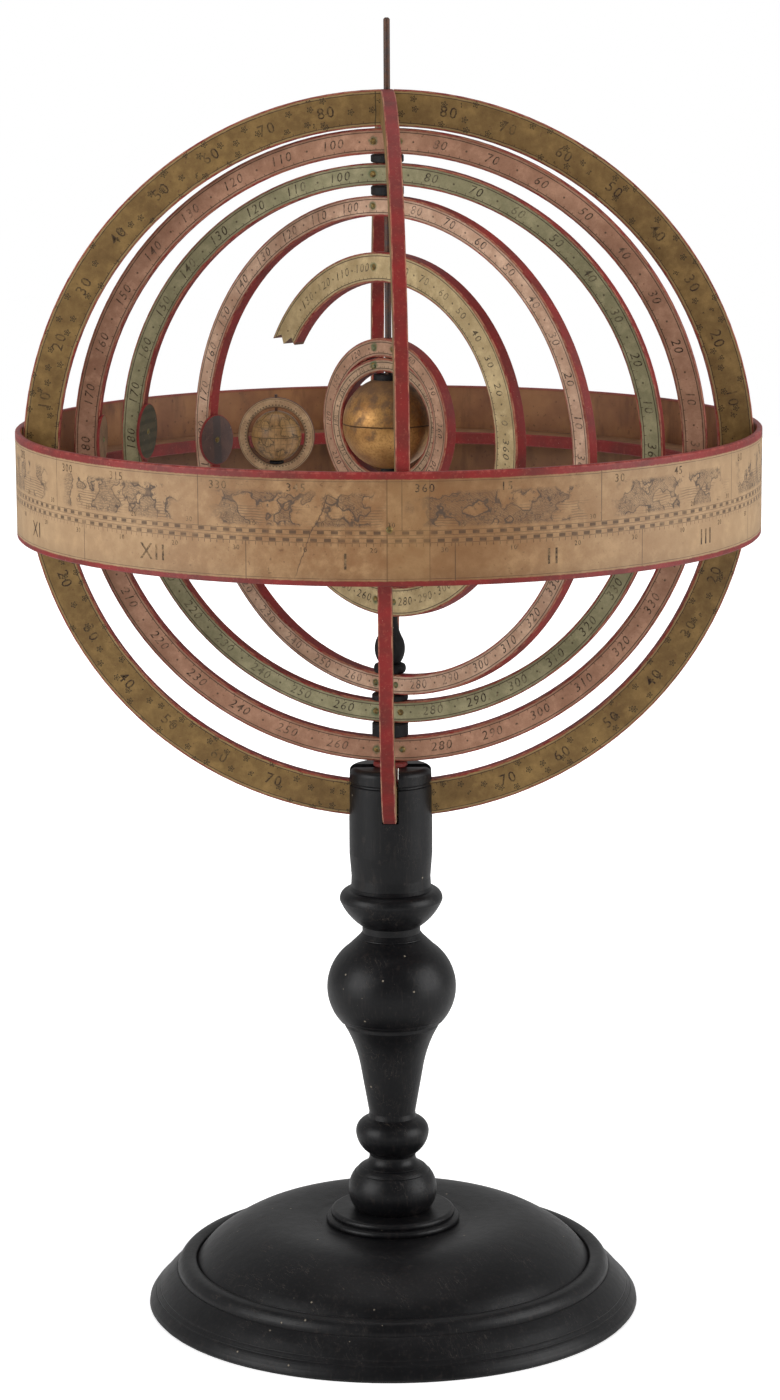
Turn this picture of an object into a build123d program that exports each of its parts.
"""Armillary sphere of pasteboard rings on a turned, ebonised wooden stand.

Six planet rings turn one inside the other on an upright rod with a gilt Sun at its
middle. They stand in a cage of two colures, a flat ecliptic ring and a zodiac band.
Millimetres, +Z up, origin at the middle of the underside of the base.
"""

import os
from math import asin, cos, degrees, radians, sin, sqrt

from build123d import *

# Fits: gaps between pieces that are glued or nailed, that turn, or that ride over each other
glue_gap = 0.05
running_fit = 0.08
ring_play = 0.25

# Base: a dished dome over a bead and an ogee edge, hollowed a little underneath
base_radius = 102.3
base_edge_height = 3.0
ogee_height = 12.2
ogee_width = 11.8
ogee_step_in = 3.7
ogee_step_height = 4.5
bead_width = 8.2
bead_height = 5.4
dome_foot_drop = 2.0
dome_rise = 17.8
dome_crest_radius = 52.0
dome_shoulder = 20.0
dome_shoulder_drop = 8.2
dome_inner_shoulder = 9.0
dish_depth = 1.7
foot_width = 14.0
hollow_depth = 1.5

# Flange between base and pillar
flange_radius = 27.8
flange_lower_height = 2.9
flange_upper_radius = 25.6
flange_upper_height = 2.5

# Pillar, member by member from the flange to the slotted head
tenon_radius = 9.0
tenon_length = 30.0
bulb_radius = 18.4
bulb_height = 22.0
lower_neck_radius = 9.6
ring_member_radius = 15.2
ring_member_height = 19.5
taper_radius = 13.3
taper_height = 21.0
flare_radius = 19.6
flare_height = 16.6
ball_radius = 26.7
ball_height = 40.6
upper_neck_radius = 12.0
crown_radius = 21.2
crown_height = 18.4
head_radius = 17.1
head_height = 50.2
head_flare_height = 14.0
head_rim = 2.4
head_groove = 0.8
head_groove_below_top = 6.6
slot_depth = 21.0
slot_slack = 0.7

# Cage boards
colure_radius = 147.4
colure_width = 14.5
colure_thickness = 5.4
board_chamfer = 0.4
upper_equinox_angle = 2.0
lower_equinox_angle = -0.7
band_height = 42.4
band_wall = 2.4
band_drop = 7.4
ecliptic_thickness = 5.0
ecliptic_width = 14.6

# Upright rod that carries everything
rod_radius = 1.3
rod_sunk = 12.0
finial_length = 28.1

# Planet rings, from the outside in: width of the board, gaps to the ring outside it and turn at rest.
# They fill the cage, so widths and gaps are shares of its radius
ring_thickness = 5.8
saturn_width = 0.06784 * colure_radius
saturn_gap_above = 0.00475 * colure_radius
saturn_angle = 6.0
jupiter_width = 0.05902 * colure_radius
jupiter_gap_above = 0.0251 * colure_radius
jupiter_gap_below = 0.04206 * colure_radius
jupiter_angle = 16.0
mars_width = 0.05495 * colure_radius
mars_gap_above = 0.02917 * colure_radius
mars_gap_below = 0.02171 * colure_radius
mars_angle = 38.0
earth_width = 0.08141 * colure_radius
earth_gap_above = 0.09701 * colure_radius
earth_gap_below = 0.1635 * colure_radius
earth_angle = 45.0
venus_width = 0.0502 * colure_radius
venus_gap_above = 0.15197 * colure_radius
venus_gap_below = 0.21167 * colure_radius
venus_angle = 44.0
mercury_width = 0.03664 * colure_radius
mercury_gap_above = 0.00407 * colure_radius
mercury_gap_below = 0.00678 * colure_radius
mercury_angle = 34.0
sun_clearance = 2.6
sun_seam = 0.3
sun_cap_height = 2.1

# Turned spacers on the rod
washer_height = 2.0
washer_radius = 7.0
lower_spacer_radius = 7.4
upper_spacer_radius = 6.6
baluster_radius = 6.2
baluster_foot_radius = 6.6
baluster_foot_height = 3.4
inner_spacer_radius = 3.0
sun_cap_radius = 6.0
sun_collar_radius = 3.4

# Brass pins and the nails of the planet discs
pin_radius = 0.7
pin_head_radius = 1.3
pin_head_height = 0.5
pin_offset = 5.2
band_pin_length = 7.0
nail_radius = 0.6
nail_depth = 4.0

# Planet discs on the inner rims, and how far above the middle of their rings they sit
disc_thickness = 1.2
saturn_disc_radius = 10.0
saturn_disc_rise = 3.0
jupiter_disc_radius = 11.5
jupiter_disc_rise = 3.0
mars_disc_radius = 10.5
mars_disc_rise = -3.5

# Earth on its spindle, in the gap of its broken ring
globe_radius = 10.4
meridian_inner_radius = 11.8
meridian_width = 4.1
meridian_thickness = 2.4
meridian_angle = 4.0
earth_inset = 1.6
earth_drop = 5.6
earth_clearance = 1.1
torn_end_angle = 148.0
tear_angle = 2.2
spindle_radius = 0.6
spindle_clearance = 1.4
spindle_above_meridian = 1.2
knob_radius = 1.2
collar_radius = 1.6
saucer_radius = 3.0

# Heights of the stand
dome_foot = base_edge_height + ogee_height + bead_height - dome_foot_drop
base_seat = dome_foot + dome_rise - dish_depth
flange_top = base_seat + flange_lower_height + flange_upper_height
bulb_top = flange_top + bulb_height
ring_member_top = bulb_top + ring_member_height
taper_top = ring_member_top + taper_height
flare_top = taper_top + flare_height
ball_top = flare_top + ball_height
crown_top = ball_top + crown_height
head_top = crown_top + head_height
slot_floor = head_top - slot_depth

# Heights and radii of the cage
colure_inner = colure_radius - colure_width
colure_centre = slot_floor + glue_gap + colure_radius
lap_slot = colure_thickness + 2 * glue_gap
band_inner = colure_radius + 0.2
band_radius = band_inner + band_wall
band_middle = colure_centre - band_drop
ecliptic_top = band_middle + ecliptic_thickness / 2
ecliptic_bottom = band_middle - ecliptic_thickness / 2
ecliptic_outer = band_inner - glue_gap
ring_half = ring_thickness / 2


class Orbit:
    """One ring that stands upright on the rod, worked out from its top, bottom and width."""

    def __init__(self, name, top, bottom, width, turn):
        self.name = name
        self.outer = (top - bottom) / 2
        self.inner = self.outer - width
        self.middle = self.outer - width / 2
        self.centre = (top + bottom) / 2
        self.top = top
        self.bottom = bottom
        self.inner_top = top - width
        self.inner_bottom = bottom + width
        self.turn = turn

    def place(self, piece):
        """Move a piece made in the ring's own upright plane to where the ring stands."""
        return Pos(0, 0, self.centre) * Rot(0, 0, -self.turn) * piece

    def inside(self, name, gap_above, gap_below, width, turn):
        """The next ring inwards, by its gaps above and below."""
        return Orbit(name, self.inner_top - gap_above, self.inner_bottom + gap_below, width, turn)


saturn = Orbit(
    "saturn",
    colure_centre + colure_inner - saturn_gap_above,
    head_top + washer_height + ring_play,
    saturn_width,
    saturn_angle,
)
jupiter = saturn.inside("jupiter", jupiter_gap_above, jupiter_gap_below, jupiter_width, jupiter_angle)
mars = jupiter.inside("mars", mars_gap_above, mars_gap_below, mars_width, mars_angle)
earth = mars.inside("earth", earth_gap_above, earth_gap_below, earth_width, earth_angle)
venus = earth.inside("venus", venus_gap_above, venus_gap_below, venus_width, venus_angle)
mercury = venus.inside("mercury", mercury_gap_above, mercury_gap_below, mercury_width, mercury_angle)
earth_orbit_radius = earth.middle - earth_inset
sun_radius = mercury.inner - sun_clearance
sun_centre = mercury.inner_top - ring_play - sun_cap_height - sun_radius
rod_top = colure_centre + colure_radius + finial_length
rod_bottom = slot_floor - rod_sunk


def rise(radius, half_width):
    """How far a round rim has risen from its lowest point at a distance to the side."""
    return radius - sqrt(radius**2 - half_width**2)


def turned(outline):
    """Solid turned about Z. A step of the outline is a point, or (through, end) of an arc."""
    edges = []
    here = outline[0]
    for step in outline[1:] + outline[:1]:
        if isinstance(step[0], tuple):
            through, end = step
            edges.append(ThreePointArc(here, through, end))
        else:
            end = step
            edges.append(Line(here, end))
        here = end
    return revolve(Plane.XZ * make_face(edges), Axis.Z)


def plug(radius, bottom, top):
    """Upright round cutter or pin about Z between two heights."""
    return Pos(0, 0, (bottom + top) / 2) * Cylinder(radius, top - bottom)


def sleeve(radius, bottom, top, bore=rod_radius + glue_gap):
    """Round spacer on the rod, with softened edges."""
    body = plug(radius, bottom, top)
    body = chamfer(body.edges().filter_by(GeomType.CIRCLE), min(0.4, (top - bottom) / 5))
    return body - plug(bore, bottom, top)


def upright_ring(outer, width, thickness):
    """Flat board ring that stands in the XZ plane, its edges softened."""
    ring = Cylinder(outer, thickness) - Cylinder(outer - width, thickness)
    ring = chamfer(ring.edges().filter_by(GeomType.CIRCLE), board_chamfer)
    return Rot(90, 0, 0) * ring


def make_base():
    """Dished dome, bead and ogee edge, bored for the pillar's tenon."""
    edge_top = base_edge_height
    step_radius = base_radius - ogee_step_in
    step_height = edge_top + ogee_step_height
    groove_radius = base_radius - ogee_width - 0.3
    groove_height = edge_top + ogee_height
    dome_foot_radius = groove_radius - bead_width
    crest = dome_foot + dome_rise
    outline = [
        (0, hollow_depth),
        (base_radius - foot_width, hollow_depth),
        (base_radius - foot_width, 0),
        (base_radius - 1.2, 0),
        ((base_radius, edge_top / 2), (base_radius - 0.5, edge_top)),
        ((base_radius - 2.0, edge_top + 2.2), (step_radius, step_height - 0.8)),
        (step_radius - 0.5, step_height),
        (step_radius - 1.4, step_height + 1.0),
        (
            (groove_radius + 4.2, groove_height - 3.6),
            (groove_radius + 0.9, groove_height - 0.4),
        ),
        (groove_radius, groove_height),
        (
            (groove_radius - 0.3 * bead_width, groove_height + bead_height - 0.6),
            (dome_foot_radius + 0.5, dome_foot + 1.4),
        ),
        (dome_foot_radius, dome_foot),
        (
            (dome_crest_radius + dome_shoulder, crest - dome_shoulder_drop),
            (dome_crest_radius + 4.0, crest - 0.5),
        ),
        (
            (dome_crest_radius - dome_inner_shoulder, crest - 0.1),
            (flange_radius + 0.4, base_seat),
        ),
        (0, base_seat),
    ]
    bore = plug(tenon_radius + glue_gap, flange_top - tenon_length - 0.5, base_seat)
    return turned(outline) - bore


def make_flange():
    """Two rounded steps between the base and the pillar."""
    lower_top = base_seat + flange_lower_height
    outline = [
        (tenon_radius + glue_gap, base_seat),
        (flange_radius - 0.4, base_seat),
        ((flange_radius, base_seat + 1.2), (flange_radius - 1.0, lower_top - 0.3)),
        (flange_upper_radius, lower_top),
        ((flange_upper_radius + 0.2, lower_top + 1.3), (flange_upper_radius - 1.2, flange_top)),
        (tenon_radius + glue_gap, flange_top),
    ]
    return turned(outline)


def make_pillar():
    """Turned pillar on a tenon, with a head slotted crosswise for the two colures."""
    groove = head_top - head_groove_below_top
    outline = [
        (0, flange_top - tenon_length),
        (tenon_radius, flange_top - tenon_length),
        (tenon_radius, flange_top),
        (0.84 * bulb_radius, flange_top),
        (
            (bulb_radius, flange_top + 0.42 * bulb_height),
            (0.86 * bulb_radius, flange_top + 0.72 * bulb_height),
        ),
        (0.83 * bulb_radius, flange_top + 0.73 * bulb_height),
        (
            (0.78 * bulb_radius, flange_top + 0.79 * bulb_height),
            (0.68 * bulb_radius, flange_top + 0.85 * bulb_height),
        ),
        (
            (lower_neck_radius + 0.7, bulb_top - 1.6),
            (lower_neck_radius, bulb_top + 0.05 * ring_member_height),
        ),
        (lower_neck_radius + 0.5, bulb_top + 0.11 * ring_member_height),
        (
            (0.91 * ring_member_radius, bulb_top + 0.32 * ring_member_height),
            (ring_member_radius, bulb_top + 0.56 * ring_member_height),
        ),
        (
            (0.95 * ring_member_radius, bulb_top + 0.72 * ring_member_height),
            (0.73 * ring_member_radius, bulb_top + 0.86 * ring_member_height),
        ),
        (lower_neck_radius + 0.4, bulb_top + 0.89 * ring_member_height),
        (lower_neck_radius, ring_member_top),
        (taper_radius, taper_top),
        ((taper_radius + 2.1, taper_top + 0.46 * flare_height), (flare_radius, flare_top)),
        (flare_radius, flare_top + 1.6),
        (0.8 * ball_radius, flare_top + 2.0),
        (
            (ball_radius, flare_top + 0.4 * ball_height),
            (0.67 * ball_radius, flare_top + 0.82 * ball_height),
        ),
        (upper_neck_radius + 1.3, flare_top + 0.93 * ball_height),
        (upper_neck_radius, flare_top + 0.97 * ball_height),
        (upper_neck_radius, ball_top + 0.08 * crown_height),
        (
            (0.85 * crown_radius, ball_top + 0.38 * crown_height),
            (crown_radius, ball_top + 0.68 * crown_height),
        ),
        (
            (0.97 * crown_radius, ball_top + 0.83 * crown_height),
            (0.82 * crown_radius, ball_top + 0.93 * crown_height),
        ),
        (head_radius - 0.6, crown_top),
        (head_radius - 0.8, crown_top + 4.0),
        (head_radius, crown_top + head_flare_height),
        (head_radius, groove - head_groove),
        ((head_radius - head_groove, groove), (head_radius, groove + head_groove)),
        (head_radius, head_top - head_rim),
        (
            (head_radius - 0.3 * head_rim, head_top - 0.3 * head_rim),
            (head_radius - head_rim, head_top),
        ),
        (0, head_top),
    ]
    body = turned(outline)
    slot = Box(3 * head_radius, colure_thickness + 2 * slot_slack, 2 * slot_depth)
    for turn in (0, 90 + lower_equinox_angle):
        body -= Pos(0, 0, head_top) * Rot(0, 0, turn) * slot
    return body - plug(rod_radius + glue_gap, rod_bottom, head_top)


def make_solstice_colure():
    """Upright ring across the view, lapped over the equinoctial colure and the ecliptic ring."""
    ring = Pos(0, 0, colure_centre) * upright_ring(colure_radius, colure_width, colure_thickness)
    lap = Box(lap_slot, 4 * colure_thickness, colure_width)
    for side, turn in ((1, upper_equinox_angle), (-1, lower_equinox_angle)):
        ring -= Pos(0, 0, colure_centre + side * colure_radius) * Rot(0, 0, turn) * lap
    notch = Box(colure_width, 2 * colure_thickness, ecliptic_thickness + 2 * glue_gap)
    for side in (1, -1):
        ring -= Pos(side * colure_inner, 0, band_middle) * notch
        ring -= Pos(side * colure_radius, 0, band_middle) * Rot(0, 90, 0) * pin_bore()
    return ring - plug(rod_radius + glue_gap, slot_floor, rod_top)


def make_equinox_colure(turn, bottom, top, pole):
    """Half of the ring that runs from front to back, lapped under the other at one pole."""
    ring = upright_ring(colure_radius, colure_width, colure_thickness)
    ring = Pos(0, 0, colure_centre) * Rot(0, 0, 90) * ring
    ring &= Pos(0, 0, (bottom + top) / 2) * Box(4 * colure_radius, 4 * colure_radius, top - bottom)
    lap = Box(2 * colure_thickness, lap_slot, colure_width)
    ring = Rot(0, 0, turn) * ring
    ring -= Pos(0, 0, colure_centre + pole * colure_inner) * lap
    return ring - plug(rod_radius + glue_gap, slot_floor, rod_top)


def make_ecliptic_ring():
    """Flat ring inside the band, with a notch each side where the solstitial colure crosses."""
    ring = plug(ecliptic_outer, ecliptic_bottom, ecliptic_top)
    ring -= plug(ecliptic_outer - ecliptic_width, ecliptic_bottom, ecliptic_top)
    ring = chamfer(ring.edges().filter_by(GeomType.CIRCLE), board_chamfer)
    notch = Box(colure_width, lap_slot, 2 * ecliptic_thickness)
    for side in (1, -1):
        ring -= Pos(side * (colure_radius - glue_gap), 0, band_middle) * notch
        ring -= Pos(0, side * ecliptic_outer, band_middle) * Rot(90, 0, 0) * pin_bore()
    return ring


def make_zodiac_band():
    """Wide cylinder of the zodiac, bored for its four pins."""
    bottom = band_middle - band_height / 2
    top = band_middle + band_height / 2
    band = plug(band_radius, bottom, top) - plug(band_inner, bottom, top)
    band = chamfer(band.edges().filter_by(GeomType.CIRCLE), board_chamfer)
    for side in (1, -1):
        band -= Pos(side * band_radius, 0, band_middle) * Rot(0, 90, 0) * pin_bore()
        band -= Pos(0, side * band_radius, band_middle) * Rot(90, 0, 0) * pin_bore()
    return band


def pin_bore():
    """Hole for a band pin, centred on the surface that it enters."""
    return Cylinder(pin_radius + glue_gap, 2 * band_pin_length)


def make_pin(length, radius=pin_radius):
    """Brass pin along Z, its low domed head on Z = 0 and its shank below."""
    head = Cone(pin_head_radius, 0.5 * pin_head_radius, pin_head_height)
    return plug(radius, -length, 0) + Pos(0, 0, pin_head_height / 2) * head


def make_band_pins():
    """Four pins that nail the band to the ecliptic ring and the solstitial colure."""
    pin = Pos(0, 0, band_radius) * make_pin(band_pin_length)
    pin = Pos(0, 0, band_middle) * Rot(0, 90, 0) * pin
    return [Rot(0, 0, quarter) * pin for quarter in range(0, 360, 90)]


def pole_pin_places(orbit):
    """Places of the four pins of a ring, either side of the rod at the top and the bottom."""
    height = sqrt(orbit.middle**2 - pin_offset**2)
    return [(x, z) for z in (height, -height) for x in (-pin_offset, pin_offset)]


def make_pole_pins(orbit):
    """Pins through the faces of a ring, their heads in front."""
    pin = Pos(0, -ring_half, 0) * Rot(90, 0, 0) * make_pin(ring_thickness)
    return [orbit.place(Pos(x, 0, z) * pin) for x, z in pole_pin_places(orbit)]


def make_orbit_ring(orbit):
    """Ring of one planet, bored for the rod and its pins."""
    ring = upright_ring(orbit.outer, orbit.outer - orbit.inner, ring_thickness)
    ring -= plug(rod_radius + running_fit, -orbit.outer, orbit.outer)
    for x, z in pole_pin_places(orbit):
        ring -= Pos(x, 0, z) * Rot(90, 0, 0) * Cylinder(pin_radius + glue_gap, 2 * ring_thickness)
    return ring


class PlanetDisc:
    """Disc nailed to the inner rim of its ring, facing the Sun."""

    def __init__(self, orbit, radius, height):
        self.radius = radius
        self.back = sqrt(orbit.inner**2 - radius**2) - glue_gap
        self.lift = degrees(asin(height / orbit.inner))
        self.orbit = orbit

    def towards_sun(self, piece, reach):
        """Turn a piece made along Z to the left of the ring, its +Z side facing the Sun."""
        return Rot(0, self.lift, 0) * Pos(-reach, 0, 0) * Rot(0, 90, 0) * piece

    def disc(self):
        blank = Cylinder(self.radius, disc_thickness)
        blank = chamfer(blank.edges().filter_by(GeomType.CIRCLE), disc_thickness / 5)
        blank -= Cylinder(nail_radius + glue_gap, disc_thickness)
        return self.orbit.place(self.towards_sun(blank, self.back - disc_thickness / 2))

    def nail(self):
        nail = make_pin(disc_thickness + nail_depth, nail_radius)
        return self.orbit.place(self.towards_sun(nail, self.back - disc_thickness))

    def bore(self):
        hole = Cylinder(nail_radius + glue_gap, 2 * (nail_depth + 1.0))
        return self.towards_sun(hole, self.orbit.inner)


def on_circle(radius, angle):
    """Point of a circle about the middle of a ring, in its own plane."""
    return (radius * cos(radians(angle)), radius * sin(radians(angle)))


def make_broken_ring(orbit, lower_end_angle):
    """Earth's ring, torn off above the globe and cut short below it."""
    ring = make_orbit_ring(orbit)
    far = 1.6 * orbit.outer
    span = orbit.outer - orbit.inner
    tear = [
        on_circle(orbit.inner - 1.0, torn_end_angle),
        on_circle(orbit.inner + 0.25 * span, torn_end_angle - tear_angle),
        on_circle(orbit.inner + 0.45 * span, torn_end_angle + tear_angle),
        on_circle(orbit.inner + 0.7 * span, torn_end_angle),
        on_circle(orbit.outer + 1.0, torn_end_angle + 2 * tear_angle),
    ]
    middle_angle = (torn_end_angle + lower_end_angle) / 2
    wedge = [(0, 0)] + tear + [
        on_circle(far, torn_end_angle + 2 * tear_angle),
        on_circle(far, middle_angle),
        on_circle(far, lower_end_angle),
    ]
    cutter = extrude(Plane.XZ * make_face(Polyline(*wedge, close=True)), 2 * ring_thickness, both=True)
    ring -= cutter
    return ring - Pos(-earth_orbit_radius, 0, 0) * plug(spindle_radius + running_fit, -orbit.outer, 0)


class Earth:
    """Globe, its printed meridian ring and the spindle that both turn on."""

    def __init__(self, orbit):
        self.orbit = orbit
        self.drop_angle = degrees(asin(earth_drop / earth_orbit_radius))
        self.meridian_outer = meridian_inner_radius + meridian_width
        reach = self.meridian_outer + earth_clearance
        self.lower_end_angle = 180 + self.drop_angle + degrees(asin(reach / orbit.inner))
        self.seat = self.end_face_height(collar_radius)
        turn = radians(orbit.turn)
        self.x = -earth_orbit_radius * cos(turn)
        self.y = earth_orbit_radius * sin(turn)
        self.z = orbit.centre - earth_drop

    def end_face_height(self, beside):
        """Height of the ring's lower end from the Earth's middle, a distance inwards of the spindle."""
        slope = sin(radians(self.lower_end_angle)) / cos(radians(self.lower_end_angle))
        return -(earth_orbit_radius - beside) * slope + earth_drop

    def place(self, piece):
        return Pos(self.x, self.y, self.z) * piece

    def spindle(self):
        top = self.meridian_outer + spindle_above_meridian
        reach = earth_orbit_radius + knob_radius
        bottom = mars.centre - sqrt(mars.inner**2 - reach**2) + spindle_clearance
        knob_height = bottom + knob_radius - self.z
        wire = plug(spindle_radius, knob_height, top)
        return self.place(wire + Pos(0, 0, knob_height) * Sphere(knob_radius))

    def globe(self):
        bore = plug(spindle_radius + glue_gap, -globe_radius, globe_radius)
        return self.place(Sphere(globe_radius) - bore)

    def meridian(self):
        ring = Cylinder(self.meridian_outer, meridian_thickness)
        ring -= Cylinder(meridian_inner_radius, meridian_thickness)
        ring = chamfer(ring.edges().filter_by(GeomType.CIRCLE), board_chamfer)
        ring = Rot(90, 0, 0) * ring
        ring -= plug(spindle_radius + glue_gap, -self.meridian_outer, self.meridian_outer)
        return self.place(Rot(0, 0, -meridian_angle) * ring)

    def collar(self):
        seat = self.seat + ring_play
        top = -self.meridian_outer - glue_gap
        return self.place(sleeve(collar_radius, seat, top, spindle_radius + glue_gap))

    def saucer(self):
        bottom = -meridian_inner_radius + rise(meridian_inner_radius, saucer_radius) + glue_gap
        top = -globe_radius - glue_gap
        return self.place(sleeve(saucer_radius, bottom, top, spindle_radius + glue_gap))


def make_rod():
    """Iron rod from inside the pillar's head to the finial above the cage."""
    rod = plug(rod_radius, rod_bottom + glue_gap, rod_top)
    return chamfer(rod.edges().sort_by(Axis.Z)[-1], 0.5 * rod_radius)


def make_baluster(bottom, top):
    """Turned vase between the rings of Mars and the Earth."""
    neck = bottom + baluster_foot_height
    height = top - neck
    bore = rod_radius + glue_gap
    outline = [
        (bore, bottom),
        (baluster_foot_radius - 0.6, bottom),
        ((baluster_foot_radius, (bottom + neck) / 2), (baluster_foot_radius - 0.6, neck)),
        (0.7 * baluster_radius, neck + 0.03 * height),
        ((baluster_radius, neck + 0.3 * height), (0.78 * baluster_radius, neck + 0.58 * height)),
        ((0.56 * baluster_radius, neck + 0.8 * height), (0.53 * baluster_radius, top)),
        (bore, top),
    ]
    return turned(outline)


def make_sun_half(side):
    """Hemisphere of the Sun, its rim softened where the two meet."""
    bore = rod_radius + glue_gap
    shoulder = sun_radius * sqrt(0.5)
    outline = [
        (bore, 0),
        (sun_radius - sun_seam, 0),
        (sqrt(sun_radius**2 - sun_seam**2), sun_seam),
        ((shoulder, shoulder), (bore, sqrt(sun_radius**2 - bore**2))),
    ]
    return Pos(0, 0, sun_centre) * Rot(0 if side > 0 else 180, 0, 0) * turned(outline)


def between_rings_above(outside, inside, radius):
    """Spacer on the rod from the top of one ring to the inner rim of the ring outside it."""
    top = outside.inner_top - rise(outside.inner, radius) - ring_play
    return sleeve(radius, inside.top + ring_play, top)


def seat_on(outside, radius):
    """Underside of a spacer that rides just clear of the inner rim of a ring below it."""
    return outside.inner_bottom + rise(outside.inner, radius) + ring_play


def between_rings_below(outside, inside, radius):
    """Spacer on the rod from the inner rim of one ring to the bottom of the ring inside it."""
    return sleeve(radius, seat_on(outside, radius), inside.bottom - ring_play)


def build_nodes():
    """Every piece of the sphere by its node name, a list where like pieces share a node."""
    nodes = {
        "base": make_base(),
        "base_flange": make_flange(),
        "pillar": make_pillar(),
        "solstice_colure": make_solstice_colure(),
        "equinox_colure_upper": make_equinox_colure(
            upper_equinox_angle, ecliptic_top + glue_gap, rod_top, 1
        ),
        "equinox_colure_lower": make_equinox_colure(
            lower_equinox_angle, slot_floor - 1.0, ecliptic_bottom - glue_gap, -1
        ),
        "ecliptic_ring": make_ecliptic_ring(),
        "zodiac_band": make_zodiac_band(),
        "band_pins": make_band_pins(),
        "axis_rod": make_rod(),
        "pillar_washer": sleeve(washer_radius, head_top, head_top + washer_height),
        "lower_spacer_saturn_jupiter": between_rings_below(saturn, jupiter, lower_spacer_radius),
        "lower_spacer_jupiter_mars": between_rings_below(jupiter, mars, lower_spacer_radius),
        "baluster_spacer": make_baluster(seat_on(mars, baluster_foot_radius), earth.bottom - ring_play),
        "lower_spacer_earth_venus": between_rings_below(earth, venus, inner_spacer_radius),
        "lower_washer_venus_mercury": between_rings_below(venus, mercury, inner_spacer_radius),
        "upper_spacer_saturn_jupiter": between_rings_above(saturn, jupiter, upper_spacer_radius),
        "upper_spacer_jupiter_mars": between_rings_above(jupiter, mars, upper_spacer_radius),
        "sun_upper_half": make_sun_half(1),
        "sun_lower_half": make_sun_half(-1),
    }
    sun_top = sun_centre + sqrt(sun_radius**2 - sun_cap_radius**2)
    cap_top = mercury.inner_top - rise(mercury.inner, sun_cap_radius) - ring_play
    nodes["sun_cap"] = make_sun_cap(sun_top, cap_top)
    nodes["sun_collar"] = make_sun_collar()
    discs = {
        "saturn": PlanetDisc(saturn, saturn_disc_radius, saturn_disc_rise),
        "jupiter": PlanetDisc(jupiter, jupiter_disc_radius, jupiter_disc_rise),
        "mars": PlanetDisc(mars, mars_disc_radius, mars_disc_rise),
    }
    globe = Earth(earth)
    for orbit in (saturn, jupiter, mars, earth, venus, mercury):
        if orbit is earth:
            ring = make_broken_ring(orbit, globe.lower_end_angle)
        else:
            ring = make_orbit_ring(orbit)
        disc = discs.get(orbit.name)
        if disc:
            ring -= disc.bore()
            nodes[orbit.name + "_disc"] = disc.disc()
            nodes[orbit.name + "_nail"] = disc.nail()
        nodes[orbit.name + "_ring"] = orbit.place(ring)
        nodes[orbit.name + "_pins"] = make_pole_pins(orbit)
    nodes["earth_spindle"] = globe.spindle()
    nodes["earth_globe"] = globe.globe()
    nodes["earth_meridian"] = globe.meridian()
    nodes["earth_collar"] = globe.collar()
    nodes["earth_saucer"] = globe.saucer()
    return nodes


def make_sun_cap(bottom, top):
    """Dark cap on the Sun, hollowed to sit on the ball."""
    cap = plug(sun_cap_radius, bottom, top)
    cap = chamfer(cap.edges().filter_by(GeomType.CIRCLE).sort_by(Axis.Z)[-1], 0.4)
    cap -= Pos(0, 0, sun_centre) * Sphere(sun_radius + glue_gap)
    return cap - plug(rod_radius + glue_gap, bottom, top)


def make_sun_collar():
    """Collar under the Sun, on the inner rim of Mercury's ring."""
    bottom = seat_on(mercury, sun_collar_radius)
    top = sun_centre - sqrt(sun_radius**2 - sun_collar_radius**2)
    collar = plug(sun_collar_radius, bottom, top)
    collar -= Pos(0, 0, sun_centre) * Sphere(sun_radius + glue_gap)
    return collar - plug(rod_radius + glue_gap, bottom, top)


def write_nodes(nodes):
    """One STEP file for each node."""
    os.makedirs("parts", exist_ok=True)
    for name, shape in nodes.items():
        if isinstance(shape, list):
            shape = Compound(children=shape)
        export_step(shape, f"parts/{name}.step")


write_nodes(build_nodes())
